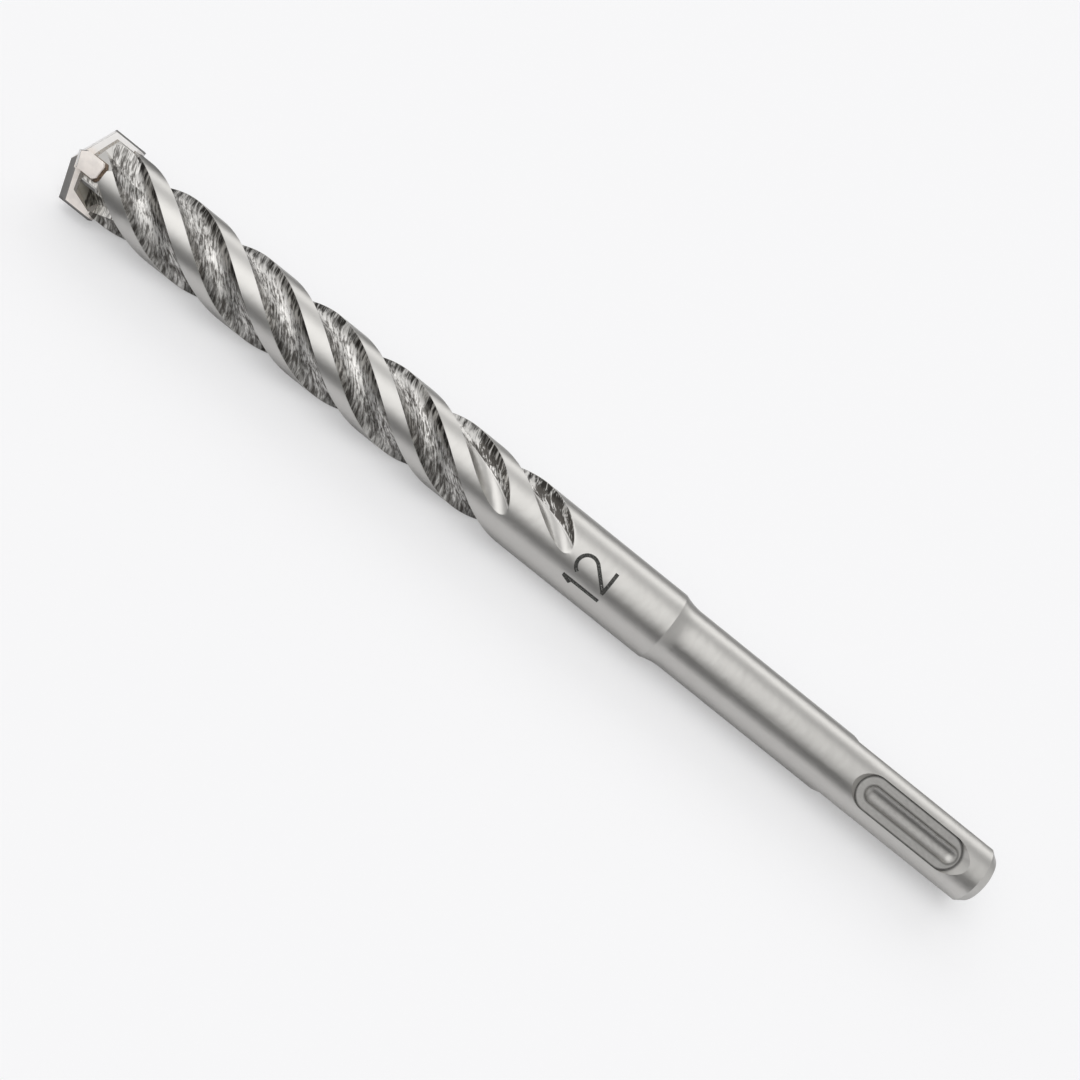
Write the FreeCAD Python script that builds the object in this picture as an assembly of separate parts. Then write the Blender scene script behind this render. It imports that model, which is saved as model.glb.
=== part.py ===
import FreeCAD, Part
import math
import os

# Hammer drill bit for masonry: a four-cutter head brazed into a fluted steel body, with a slotted shank.
# Millimetres. The bit lies along X: the shank's striking face is at x = 0, centred on the axis, and the
# tip points to +X. Angles are measured about +X, from +Y towards +Z. The bit turns towards +angle when it
# drills, and its flutes are right-handed.

# Overall form of the steel
overall_length = 165.0
shank_radius = 5.0
neck_radius = 5.6
neck_start = 59.5
taper_length = 3.4
striking_face_radius = 4.0
end_chamfer_length = 1.5

# Flutes: pairs of opposite flutes end at different places
flute_lead = 50.0
flute_half_angle = 29.5
flute_core_radius = 3.45
flute_floor_offset = 0.5
flute_lag_angle = 1.1
long_flute_length = 88.0
short_flute_length = 77.6
grinding_wheel_radius = 17.2

# Cutter plates
side_cutter_angle = 45.0
cutter_circle_radius = 6.2
plate_thickness = 2.8
edge_offset = 0.75
corner_setback = 2.0
flank_angle = 24.0
bevel_angle = 57.0
main_plate_depth = 7.1
side_plate_depth = 6.4
side_plate_inner_radius = 2.4
side_plate_drop = 0.1
end_relief_trailing = 0.3
end_relief_leading = 0.12
plate_foot_chamfer = 0.5

# Braze gaps between a plate and its slot
braze_side_gap = 0.15
braze_foot_gap = 0.5

# Steel round the plates
nose_setback = 1.6
nose_angle = 20.0
chip_face_angle = 31.0
chip_face_distance = 3.3
chip_face_tilt = 16.3
backing_thickness = 1.0
backing_radius = 5.15
backing_length = 6.4
backing_run_out = 5.0

# Closed locking slots, in line with the side plates
closed_slot_start = 4.0
closed_slot_length = 21.0
closed_slot_width = 6.0
closed_slot_floor_radius = 3.75
closed_slot_wall_lean = 0.25
closed_slot_end_lean = 1.2
trough_end_gap = 2.2
trough_width = 2.8
trough_floor_radius = 3.0

# Open driving grooves, in line with the main plate
groove_length = 24.2
groove_ramp_length = 3.6
groove_floor_radius = 3.4
groove_floor_width = 2.7
groove_mouth_width = 3.9

# Working allowances, never seen in the finished solids
over = 1.5
far = 12.0
twist_step = 20.0
past_land_angle = 7.0
past_surface = 0.3


def turned(shape, angle):
    """A copy of a shape turned about the bit's axis."""
    copy = shape.copy()
    copy.rotate(FreeCAD.Vector(0, 0, 0), FreeCAD.Vector(1, 0, 0), angle)
    return copy


def prism(points, direction):
    """A solid swept from a flat outline along a direction."""
    corners = [FreeCAD.Vector(*point) for point in points]
    outline = Part.makePolygon(corners + corners[:1])
    return Part.Face(outline).extrude(FreeCAD.Vector(*direction))


def intersection(first, *others):
    """The material that several solids share."""
    for other in others:
        first = first.common(other)
    return first


def turned_blank():
    """The bar before fluting: end chamfer, shank, hollow taper, neck and coned nose."""
    chamfer_end = FreeCAD.Vector(end_chamfer_length, shank_radius, 0)
    taper_start = FreeCAD.Vector(neck_start - taper_length, shank_radius, 0)
    taper_end = FreeCAD.Vector(neck_start, neck_radius, 0)
    rise = neck_radius - shank_radius
    taper_radius = (taper_length ** 2 + rise ** 2) / (2 * rise)
    half_turn = math.asin(taper_length / taper_radius) / 2
    taper_middle = FreeCAD.Vector(taper_start.x + taper_radius * math.sin(half_turn),
                                  shank_radius + taper_radius * (1 - math.cos(half_turn)), 0)
    nose_tip = FreeCAD.Vector(overall_length - nose_setback, 0, 0)
    nose_foot = FreeCAD.Vector(nose_tip.x - neck_radius * math.tan(math.radians(nose_angle)), neck_radius, 0)
    face_centre = FreeCAD.Vector(0, 0, 0)
    face_edge = FreeCAD.Vector(0, striking_face_radius, 0)
    edges = [
        Part.makeLine(face_centre, face_edge),
        Part.makeLine(face_edge, chamfer_end),
        Part.makeLine(chamfer_end, taper_start),
        Part.Arc(taper_start, taper_middle, taper_end).toShape(),
        Part.makeLine(taper_end, nose_foot),
        Part.makeLine(nose_foot, nose_tip),
        Part.makeLine(nose_tip, face_centre),
    ]
    outline = Part.Face(Part.Wire(edges))
    return outline.revolve(FreeCAD.Vector(0, 0, 0), FreeCAD.Vector(1, 0, 0), 360)


def flute_arcs():
    """The two floor arcs of a flute, each as (radius, side), met at the flute's deepest line.

    The gentle arc runs back to the trailing land and the steep arc up to the leading one. Each radius is
    worked out so that the arc meets the land circle at the flute's half angle.
    """
    half_chord = neck_radius * math.sin(math.radians(flute_half_angle))
    rise = neck_radius * math.cos(math.radians(flute_half_angle)) - flute_core_radius
    gentle_reach = half_chord + flute_floor_offset
    steep_reach = half_chord - flute_floor_offset
    gentle_radius = (gentle_reach ** 2 + rise ** 2) / (2 * rise)
    steep_radius = (steep_reach ** 2 + rise ** 2) / (2 * rise)
    gentle_turn = math.asin(gentle_reach / gentle_radius)
    steep_turn = math.asin(steep_reach / steep_radius)
    return gentle_radius, gentle_turn, steep_radius, steep_turn


def flute_section(x, angle, lift):
    """Closed outline of the grinding wheel's cut at one place along the bit, lifted off the axis."""
    gentle_radius, gentle_turn, steep_radius, steep_turn = flute_arcs()
    past_land = math.radians(past_land_angle)
    floor = flute_core_radius + lift

    def on_arc(radius, turn):
        side = flute_floor_offset + radius * math.sin(turn)
        height = floor + radius * (1 - math.cos(turn))
        return FreeCAD.Vector(x, height, side)

    gentle_end = on_arc(gentle_radius, -gentle_turn - past_land)
    gentle_middle = on_arc(gentle_radius, -(gentle_turn + past_land) / 2)
    deepest = on_arc(steep_radius, 0)
    steep_middle = on_arc(steep_radius, (steep_turn + past_land) / 2)
    steep_end = on_arc(steep_radius, steep_turn + past_land)
    top = neck_radius + over + lift
    top_steep = FreeCAD.Vector(x, top, steep_end.z)
    top_gentle = FreeCAD.Vector(x, top, gentle_end.z)
    edges = [
        Part.Arc(gentle_end, gentle_middle, deepest).toShape(),
        Part.Arc(deepest, steep_middle, steep_end).toShape(),
        Part.makeLine(steep_end, top_steep),
        Part.makeLine(top_steep, top_gentle),
        Part.makeLine(top_gentle, gentle_end),
    ]
    return turned(Part.Wire(edges), angle)


def flute_cutter(length):
    """The wheel's path for one flute: a twisted loft that rises on the wheel's radius at its run-out."""
    depth = neck_radius - flute_core_radius
    run_out = math.sqrt(2 * grinding_wheel_radius * depth - depth ** 2)
    lift_end = depth + past_surface
    path_end = math.sqrt(2 * grinding_wheel_radius * lift_end - lift_end ** 2)
    turn_per_mm = 360 / flute_lead
    step = twist_step / turn_per_mm
    straight = length - run_out + over
    count = math.ceil(straight / step)
    setbacks = [-over + straight * i / count for i in range(count + 1)]
    rise_count = math.ceil(path_end / (step / 2))
    setbacks += [length - run_out + path_end * (i + 1) / rise_count for i in range(rise_count)]
    sections = []
    for setback in setbacks:
        past = max(0.0, setback - (length - run_out))
        lift = grinding_wheel_radius - math.sqrt(grinding_wheel_radius ** 2 - past ** 2)
        angle = flute_lag_angle - turn_per_mm * setback
        sections.append(flute_section(overall_length - setback, angle, lift))
    return Part.makeLoft(sections, True, False)


def plate_height_prism(t_low, t_high, depth, foot_chamfer):
    """Side view of a plate along its width, with the foot's corners taken off."""
    foot = overall_length - depth
    top = overall_length + over
    points = [
        (foot, -far, t_low + foot_chamfer),
        (foot, -far, t_high - foot_chamfer),
        (foot + foot_chamfer, -far, t_high),
        (top, -far, t_high),
        (top, -far, t_low),
        (foot + foot_chamfer, -far, t_low),
    ]
    return prism(points, (0, 2 * far, 0))


def plate_plan_prism(inner):
    """End view of a plate: each outer end is relieved both ways from its cutting corner."""
    half = plate_thickness / 2
    corner = cutter_circle_radius
    outer = [
        (corner - end_relief_trailing, -half),
        (corner, edge_offset),
        (corner - end_relief_leading, half),
    ]
    if inner is None:
        rest = [(-y, -z) for y, z in outer]
    else:
        rest = [(inner, half), (inner, -half)]
    points = [(overall_length - 2 * far, y, z) for y, z in outer + rest]
    return prism(points, (3 * far, 0, 0))


def plate_roof_prism(drop):
    """The ground top over one half of a plate: flank behind the cutting edge, bevel in front of it.

    The roof slopes from the axis to the cutting corner. Where the flanks of the two halves cross, they
    leave the chisel edge, which stands at the bit's full length.
    """
    flank = math.tan(math.radians(flank_angle))
    bevel = math.tan(math.radians(bevel_angle))
    centre_rise = edge_offset * flank
    slope = (corner_setback + centre_rise) / cutter_circle_radius
    reach = plate_thickness
    ridge = overall_length + centre_rise - drop
    points = [
        (ridge - (edge_offset + reach) * flank, 0, -reach),
        (ridge, 0, edge_offset),
        (ridge - (reach - edge_offset) * bevel, 0, reach),
        (ridge - 2 * far, 0, reach),
        (ridge - 2 * far, 0, -reach),
    ]
    moved = [(x + slope * far, -far, z) for x, y, z in points]
    return prism(moved, (-2 * far * slope, 2 * far, 0))


def main_plate():
    half = plate_thickness / 2
    body = plate_height_prism(-half, half, main_plate_depth, plate_foot_chamfer)
    roof = plate_roof_prism(0.0)
    return intersection(body, plate_plan_prism(None), roof, turned(roof, 180))


def side_plate():
    half = plate_thickness / 2
    body = plate_height_prism(-half, half, side_plate_depth, plate_foot_chamfer)
    return intersection(body, plate_plan_prism(side_plate_inner_radius), plate_roof_prism(side_plate_drop))


def plate_slot(depth, inner):
    """The slot sawn for a plate: the plate's outline with the braze gaps added."""
    half = plate_thickness / 2 + braze_side_gap
    slot = plate_height_prism(-half, half, depth + braze_foot_gap, plate_foot_chamfer)
    if inner is None:
        return slot
    block_length = depth + braze_foot_gap + 2 * over
    corner = FreeCAD.Vector(overall_length - depth - braze_foot_gap - over, inner - braze_side_gap, -far)
    return slot.common(Part.makeBox(block_length + over, far, 2 * far, corner))


def chip_face_cut():
    """The flat ground on the steel in front of each cutting edge. It rises and runs out into the flute."""
    corner = FreeCAD.Vector(overall_length - 2 * far, chip_face_distance, -far)
    block = Part.makeBox(2 * far + over, far, 2 * far, corner)
    pivot = FreeCAD.Vector(overall_length, chip_face_distance, 0)
    block.rotate(pivot, FreeCAD.Vector(0, 0, 1), -chip_face_tilt)
    return turned(block, chip_face_angle)


def backing_rib(blank):
    """Steel left standing behind a plate; its top slopes down into the flute at its end."""
    half = plate_thickness / 2 + braze_side_gap
    back = -half - backing_thickness
    slope_start = overall_length - backing_length
    slope_end = slope_start - backing_run_out
    points = [
        (overall_length, 0, back),
        (overall_length, backing_radius, back),
        (slope_start, backing_radius, back),
        (slope_end, flute_core_radius, back),
        (slope_end, 0, back),
    ]
    rib = prism(points, (0, 0, half - back))
    return rib.common(blank)


def racetrack(height, x_start, x_end, width):
    """A flat round-ended outline, square to the radius, at a height above the axis."""
    radius = width / 2
    left = x_start + radius
    right = x_end - radius
    edges = [
        Part.makeLine(FreeCAD.Vector(left, height, radius), FreeCAD.Vector(right, height, radius)),
        Part.Arc(FreeCAD.Vector(right, height, radius), FreeCAD.Vector(right + radius, height, 0),
                 FreeCAD.Vector(right, height, -radius)).toShape(),
        Part.makeLine(FreeCAD.Vector(right, height, -radius), FreeCAD.Vector(left, height, -radius)),
        Part.Arc(FreeCAD.Vector(left, height, -radius), FreeCAD.Vector(left - radius, height, 0),
                 FreeCAD.Vector(left, height, radius)).toShape(),
    ]
    return Part.Wire(edges)


def pocket(floor, mouth, x_start, x_end, width, end_lean, wall_lean):
    """A round-ended pocket whose walls lean out towards its mouth, carried on above the mouth."""
    depth = mouth - floor
    growth = (mouth + over - floor) / depth
    bottom = racetrack(floor, x_start + end_lean, x_end - end_lean, width - 2 * wall_lean)
    top = racetrack(mouth + over, x_start + end_lean * (1 - growth), x_end - end_lean * (1 - growth),
                    width - 2 * wall_lean * (1 - growth))
    return Part.makeLoft([bottom, top], True, True)


def trough_cut():
    """Round-bottomed trough along the slot's floor, milled with a ball-ended cutter."""
    depth = closed_slot_floor_radius - trough_floor_radius
    ball_radius = ((trough_width / 2) ** 2 + depth ** 2) / (2 * depth)
    height = trough_floor_radius + ball_radius
    end_gap = closed_slot_end_lean + trough_end_gap + trough_width / 2
    first = FreeCAD.Vector(closed_slot_start + end_gap, height, 0)
    last = FreeCAD.Vector(closed_slot_start + closed_slot_length - end_gap, height, 0)
    run = Part.makeCylinder(ball_radius, last.x - first.x, first, FreeCAD.Vector(1, 0, 0))
    return run.fuse([Part.makeSphere(ball_radius, first), Part.makeSphere(ball_radius, last)])


def closed_slot_cut():
    """Locking slot: a shallow round-ended pocket with a narrower trough along its floor."""
    end = closed_slot_start + closed_slot_length
    outer = pocket(closed_slot_floor_radius, shank_radius, closed_slot_start, end, closed_slot_width,
                   closed_slot_end_lean, closed_slot_wall_lean)
    return outer.fuse(trough_cut())


def open_groove_cut():
    """Driving groove: straight walls that flare, open at the striking face, with a ramp at its end."""
    flare = (groove_mouth_width - groove_floor_width) / 2 / (shank_radius - groove_floor_radius)
    top = shank_radius + over
    half_floor = groove_floor_width / 2
    half_top = half_floor + flare * (top - groove_floor_radius)

    def outline(x, lift):
        floor = groove_floor_radius + lift
        corners = [
            FreeCAD.Vector(x, floor, -half_floor - flare * lift),
            FreeCAD.Vector(x, floor, half_floor + flare * lift),
            FreeCAD.Vector(x, top, half_top),
            FreeCAD.Vector(x, top, -half_top),
        ]
        return Part.makePolygon(corners + corners[:1])

    straight = Part.makeLoft([outline(-over, 0), outline(groove_length, 0)], True, True)
    rise = shank_radius - groove_floor_radius
    slope = rise / groove_ramp_length
    ramp_end = groove_length + groove_ramp_length + past_surface
    ramp = Part.makeLoft([outline(groove_length, 0), outline(ramp_end, slope * (ramp_end - groove_length))],
                         True, True)
    return straight.fuse(ramp)


def steel_before_slots(blank):
    """Fluted and ground head, with its locking slots and driving grooves, before the plate slots."""
    in_line_with_side = [flute_cutter(short_flute_length), closed_slot_cut()]
    in_line_with_main = [flute_cutter(long_flute_length), open_groove_cut()]
    cuts = [turned(cut, angle) for cut in in_line_with_side for angle in side_angles]
    cuts += [turned(cut, angle) for cut in in_line_with_main for angle in main_angles]
    every_angle = side_angles + main_angles
    ribs = [turned(backing_rib(blank), angle) for angle in every_angle]
    faces = [turned(chip_face_cut(), angle) for angle in every_angle]
    return blank.cut(cuts).fuse(ribs).cut(faces)


def save(name, shape):
    solids = shape.Solids
    solid = solids[0] if len(solids) == 1 else Part.makeCompound(solids)
    solid.exportStep(os.path.join("parts", name + ".step"))
    print(name, "solids", len(solids), "valid", shape.isValid(), "volume", round(shape.Volume, 3))


os.makedirs("parts", exist_ok=True)

side_angles = [side_cutter_angle, side_cutter_angle + 180]
main_angles = [side_cutter_angle + 90, side_cutter_angle + 270]

blank_bar = turned_blank()
steel_envelope = steel_before_slots(blank_bar)

plates = {
    "main_cutter": turned(main_plate(), main_angles[0]),
    "side_cutter_upper": turned(side_plate(), side_angles[0]),
    "side_cutter_lower": turned(side_plate(), side_angles[1]),
}
slots = {
    "main_cutter": turned(plate_slot(main_plate_depth, None), main_angles[0]),
    "side_cutter_upper": turned(plate_slot(side_plate_depth, side_plate_inner_radius), side_angles[0]),
    "side_cutter_lower": turned(plate_slot(side_plate_depth, side_plate_inner_radius), side_angles[1]),
}

save("drill_body", steel_envelope.cut(list(slots.values())))
for plate_name, plate in plates.items():
    save(plate_name, plate)
    braze = slots[plate_name].common(steel_envelope).cut(plate)
    save(plate_name.replace("cutter", "braze"), braze)
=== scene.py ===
# %% [markdown]
# # A hammer drill bit, dressed for its portrait
#
# The real object is one steel bar, about as long as a hand, with four carbide plates brazed into its head.
# Four flutes wind round the front half to carry the dust out of the hole. The back half is a plain neck and
# a slotted shank, which the hammer grips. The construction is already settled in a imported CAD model. This
# lesson loads it as a frame, and adds what the eye looks for: crisp lands, milling marks, braze, a size mark.

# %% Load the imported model
import math

import bmesh
import bpy
from mathutils import Matrix, Vector


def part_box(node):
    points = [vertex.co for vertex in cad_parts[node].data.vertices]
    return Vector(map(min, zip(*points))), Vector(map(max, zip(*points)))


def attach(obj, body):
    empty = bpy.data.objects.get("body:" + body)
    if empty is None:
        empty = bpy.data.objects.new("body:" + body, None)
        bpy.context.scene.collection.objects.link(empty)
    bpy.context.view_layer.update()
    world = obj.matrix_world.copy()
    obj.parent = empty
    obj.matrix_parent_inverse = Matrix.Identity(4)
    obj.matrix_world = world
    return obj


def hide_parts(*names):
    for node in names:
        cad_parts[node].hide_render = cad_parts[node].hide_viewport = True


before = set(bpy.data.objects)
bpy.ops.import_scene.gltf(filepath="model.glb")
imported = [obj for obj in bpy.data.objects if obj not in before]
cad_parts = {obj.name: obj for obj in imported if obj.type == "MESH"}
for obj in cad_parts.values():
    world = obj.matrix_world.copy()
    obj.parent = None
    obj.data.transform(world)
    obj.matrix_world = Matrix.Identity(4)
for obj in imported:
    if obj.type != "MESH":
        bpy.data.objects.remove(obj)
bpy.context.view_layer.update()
print("CAD nodes:", ", ".join(sorted(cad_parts)))

# %% [markdown]
# ## Sizes
#
# The bit lies along X with its striking face at zero and its tip at the far end. Angles run round X, from +Y
# towards +Z. The overall sizes come from the frame. The others are the same driving sizes that the toolmaker
# would find on the drawing, so the cuts in this file lie where the solid model has them. Only the trough in
# each locking slot is longer here, and the side plates are shorter, because the photograph shows them so.

# %% Sizes of the bar
mm = 0.001

body_low, body_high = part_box("drill_body")
plate_low, plate_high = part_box("main_cutter")
tip = plate_high.x
land_radius = body_high.z
nose_setback = tip - body_high.x
shank_radius = 5.0 * mm
neck_start = 59.5 * mm
taper_length = 3.4 * mm
face_radius = 4.0 * mm
chamfer_length = 1.5 * mm
nose_angle = math.radians(20)
side_angle = math.radians(45)
side_angles = [side_angle, side_angle + math.pi]
main_angles = [side_angle + math.pi / 2, side_angle + 3 * math.pi / 2]
print(f"bit {tip / mm:.1f} mm long, land radius {land_radius / mm:.2f} mm, "
      f"nose {nose_setback / mm:.2f} mm back")

# %% Sizes of the flutes
flute_lead = 50.0 * mm
flute_half_angle = math.radians(29.5)
flute_core = 3.45 * mm
flute_offset = 0.5 * mm
flute_lag = math.radians(1.1)
long_flute = 88.0 * mm
short_flute = 77.6 * mm
wheel_radius = 17.2 * mm
plain_setback = long_flute + 2.0 * mm
print(f"flutes {(land_radius - flute_core) / mm:.2f} mm deep, "
      f"{short_flute / mm:.1f} and {long_flute / mm:.1f} mm long")

# %% [markdown]
# ## Small helpers
#
# A node tree is easiest to read when its arithmetic looks like arithmetic. `Field` wraps one socket, so that
# `a * b + c` adds the Math nodes. The same class serves Geometry Nodes and shader trees, because both use
# the same Math node.

# %% Arithmetic that builds nodes
class Field:
    """One value in a node tree. Arithmetic on it adds Math nodes to that tree."""

    def __init__(self, tree, socket):
        self.tree = tree
        self.socket = socket

    def __add__(self, other):
        return calc("ADD", self, other)

    def __radd__(self, other):
        return calc("ADD", other, self)

    def __sub__(self, other):
        return calc("SUBTRACT", self, other)

    def __rsub__(self, other):
        return calc("SUBTRACT", other, self)

    def __mul__(self, other):
        return calc("MULTIPLY", self, other)

    def __rmul__(self, other):
        return calc("MULTIPLY", other, self)

    def __truediv__(self, other):
        return calc("DIVIDE", self, other)


def feed(tree, socket, value):
    """Links a field to a socket, or writes a plain value on it."""
    if isinstance(value, Field):
        tree.links.new(value.socket, socket)
    elif value is not None:
        socket.default_value = value


def calc(operation, *values):
    """One Math node, fed with fields and numbers."""
    tree = next(value.tree for value in values if isinstance(value, Field))
    node = tree.nodes.new("ShaderNodeMath")
    node.operation = operation
    for socket, value in zip(node.inputs, values):
        feed(tree, socket, value)
    return Field(tree, node.outputs[0])


def sine(value):
    return calc("SINE", value)


def cosine(value):
    return calc("COSINE", value)


def root(value):
    return calc("SQRT", calc("MAXIMUM", value, 0.0))


def choose(mask, low, high):
    """low where the mask is 0, high where it is 1, and a blend between."""
    return low + mask * (high - low)


def ramp(value, start, end):
    """A smooth step from 0 at start to 1 at end."""
    node = value.tree.nodes.new("ShaderNodeMapRange")
    node.interpolation_type = "SMOOTHSTEP"
    feed(value.tree, node.inputs["Value"], value)
    feed(value.tree, node.inputs["From Min"], start)
    feed(value.tree, node.inputs["From Max"], end)
    return Field(value.tree, node.outputs["Result"])


def vector(tree, x, y, z):
    node = tree.nodes.new("ShaderNodeCombineXYZ")
    for socket, value in zip(node.inputs, (x, y, z)):
        feed(tree, socket, value)
    return Field(tree, node.outputs[0])


def parts(value):
    """The X, Y and Z of a vector field."""
    node = value.tree.nodes.new("ShaderNodeSeparateXYZ")
    feed(value.tree, node.inputs[0], value)
    return [Field(value.tree, socket) for socket in node.outputs]


def noise(place, scale, detail=2.0, roughness=0.5, distortion=0.0):
    """Noise between 0 and 1 at a place."""
    node = place.tree.nodes.new("ShaderNodeTexNoise")
    feed(place.tree, node.inputs["Vector"], place)
    node.inputs["Scale"].default_value = scale
    node.inputs["Detail"].default_value = detail
    node.inputs["Roughness"].default_value = roughness
    node.inputs["Distortion"].default_value = distortion
    return Field(place.tree, node.outputs[0])


print("helpers ready")

# %% [markdown]
# ## Where a point lies in its flute
#
# Both the shape and the finish of a flute follow its own line, which winds round the bit once per lead. So
# one rule is written once: from a point's place on the bit it gives the setback from the tip, the number of
# the nearest flute and the angle off that flute's centre line. The steel's shader calls it, and the tree that
# grinds the flutes turns its columns of points at the same rate.

# %% Flute coordinates
turn_per_metre = 2 * math.pi / flute_lead


def flute_coordinates(x, angle):
    """Setback from the tip, number of the nearest flute, and angle off its centre line."""
    setback = tip - x
    quarter = (angle - (side_angle + flute_lag) + setback * turn_per_metre) / (math.pi / 2)
    number = calc("ROUND", quarter)
    off_centre = (quarter - number) * (math.pi / 2)
    return setback, number, off_centre


helix_angle = math.degrees(math.atan(turn_per_metre * land_radius))
print(f"one turn in {flute_lead / mm:.0f} mm, a helix of {helix_angle:.1f} degrees")

# %% [markdown]
# ## The blank
#
# The real bit starts as a bar turned on a lathe: a chamfered end, the shank, a hollow taper up to the neck
# and a blunt cone for a nose. A lathe could be copied with the Screw modifier, but here the rows of points
# have to be close together under the flutes and far apart on the shank, so the outline's rows are listed one
# by one.
# Each point also stores how far round it is, which the flutes need.

# %% Outline of the blank
columns_per_quarter = 52
columns = 4 * columns_per_quarter
face_rows, shank_rows, taper_rows, neck_rows, flute_rows, nose_rows = 4, 40, 8, 14, 280, 12
face_centre = 0.6 * mm


def steps(start, end, count):
    """Points evenly spaced after start, up to and with end."""
    return [start + (end - start) * (i + 1) / count for i in range(count)]


def blank_outline():
    """(x, radius) of each row of points, from the striking face to the nose."""
    rise = land_radius - shank_radius
    taper_radius = (taper_length ** 2 + rise ** 2) / (2 * rise)
    nose_tip = tip - nose_setback
    nose_foot = nose_tip - land_radius * math.tan(nose_angle)
    flutes_end = tip - plain_setback
    rows = [(0.0, radius) for radius in steps(face_centre, face_radius, face_rows)]
    rows += [(x, face_radius + (shank_radius - face_radius) * x / chamfer_length)
             for x in steps(0.0, chamfer_length, 2)]
    rows += [(x, shank_radius) for x in steps(chamfer_length, neck_start - taper_length, shank_rows)]
    for along in steps(0.0, taper_length, taper_rows):
        hollow = taper_radius - math.sqrt(taper_radius ** 2 - along ** 2)
        rows.append((neck_start - taper_length + along, shank_radius + hollow))
    rows += [(x, land_radius) for x in steps(neck_start, flutes_end, neck_rows)]
    rows += [(x, land_radius) for x in steps(flutes_end, nose_foot, flute_rows)]
    rows += [(x, (nose_tip - x) / math.tan(nose_angle)) for x in steps(nose_foot, nose_tip, nose_rows)[:-1]]
    return rows, nose_tip


# %% Mesh of the blank
def blank_mesh():
    """The turned blank as a closed mesh, with the share of a full turn stored on each point."""
    rows, nose_tip = blank_outline()
    points = [(0.0, 0.0, 0.0)]
    around = [0.0]
    for x, radius in rows:
        for column in range(columns):
            turn = 2 * math.pi * column / columns
            points.append((x, radius * math.cos(turn), radius * math.sin(turn)))
            around.append(column / columns)
    points.append((nose_tip, 0.0, 0.0))
    around.append(0.0)
    last = len(points) - 1
    faces = []
    for column in range(columns):
        beside = (column + 1) % columns
        faces.append((0, 1 + beside, 1 + column))
        for row in range(len(rows) - 1):
            here = 1 + row * columns
            ahead = here + columns
            faces.append((here + column, here + beside, ahead + beside, ahead + column))
        faces.append((last - columns + column, last - columns + beside, last))
    mesh = bpy.data.meshes.new("blank")
    mesh.from_pydata(points, [], faces)
    share = mesh.attributes.new("around", "FLOAT", "POINT")
    share.data.foreach_set("value", around)
    return mesh


def add_object(name, mesh):
    thing = bpy.data.objects.new(name, mesh)
    bpy.context.scene.collection.objects.link(thing)
    return thing


blank = add_object("steel_bar", blank_mesh())
print("blank:", len(blank.data.vertices), "points")

# %% [markdown]
# ## Grinding the flutes
#
# A flute is the path of a grinding wheel. Its section is two arcs, a gentle one on the trailing side and a
# steep one under the cutting side, and it keeps that section along a helix until the wheel lifts out and
# leaves a rounded run-out. That is a rule, so a Geometry Nodes tree can follow it exactly. The tree first
# slides every column of points onto the helix, so that mesh edges run along the edges of the lands. Then it
# moves each point in to the arc, where the arc lies deeper than the blank. Two opposite flutes run on
# further than the other two.

# %% Node groups with named sockets
def new_tree(kind, name, inputs, outputs):
    """A node group with named sockets. Returns the tree and its inputs as fields."""
    tree = bpy.data.node_groups.new(name, kind)
    for label, socket_type, value in inputs:
        socket = tree.interface.new_socket(label, in_out="INPUT", socket_type=socket_type)
        if value is not None:
            socket.default_value = value
    for label, socket_type in outputs:
        tree.interface.new_socket(label, in_out="OUTPUT", socket_type=socket_type)
    group_in = tree.nodes.new("NodeGroupInput")
    return tree, {socket.name: Field(tree, socket) for socket in group_in.outputs if socket.name}


def finish_tree(tree, geometry, material):
    """Ends a tree with real geometry and its material."""
    realize = tree.nodes.new("GeometryNodeRealizeInstances")
    paint = tree.nodes.new("GeometryNodeSetMaterial")
    group_out = tree.nodes.new("NodeGroupOutput")
    feed(tree, realize.inputs[0], geometry)
    tree.links.new(realize.outputs[0], paint.inputs["Geometry"])
    feed(tree, paint.inputs["Material"], material)
    tree.links.new(paint.outputs[0], group_out.inputs[0])


print("node group helpers ready")

# %% The two arcs of a flute's floor
narrowest = math.radians(3.5)


def arc_centre(core, lift, offset, half_chord, rise, side):
    """Radius of one floor arc, and the distance and angle of its centre from the axis."""
    reach = half_chord - side * offset
    radius = (reach * reach + rise * rise) / (2.0 * rise)
    height = core + lift + radius
    return radius, root(height * height + offset * offset), calc("ARCTAN2", offset, height)


def edge_angle(arc, land, side):
    """Angle off the flute's centre line at which an arc meets the land."""
    radius, distance, angle = arc
    cosine_of_half = (distance * distance + land * land - radius * radius) / (2.0 * distance * land)
    half = calc("ARCCOSINE", calc("MINIMUM", cosine_of_half, 1.0))
    return angle + side * calc("MAXIMUM", half, narrowest)


def arc_depth(arc, angle):
    """Distance from the axis to an arc, looking out along an angle."""
    radius, distance, centre_angle = arc
    apart = angle - centre_angle
    beside = distance * sine(apart)
    return distance * cosine(apart) - root(radius * radius - beside * beside)


print(f"an arc stays at least {math.degrees(2 * narrowest):.0f} degrees wide while the wheel lifts out")

# %% The wheel's marks as a low relief
relief_height = 0.03 * mm
streak_lean = 0.96
flute_shift = 7.3


def streak_place(setback, number, off_centre, stretch, slant):
    """A place that draws noise out into streaks. They lean across the flute and differ in each one."""
    along = setback / mm
    across = off_centre * (land_radius / mm)
    return vector(setback.tree, along * stretch - across * slant, along * streak_lean + across,
                  number * flute_shift)


def streaks(setback, number, off_centre):
    """Long thin noise that leans across the flute: the marks of the wheel."""
    return noise(streak_place(setback, number, off_centre, 0.16, 0.16 * streak_lean), 1.25, 3.0, 0.6, 0.35)


print(f"wheel marks {relief_height / mm:.2f} mm high")

# %% The flute tree
flute_share = 0.72
share_margin = 1e-4
lift_limit = 1.08
relief_from, relief_full = 0.05 * mm, 0.6 * mm
axis_zone = 0.5 * mm


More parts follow.
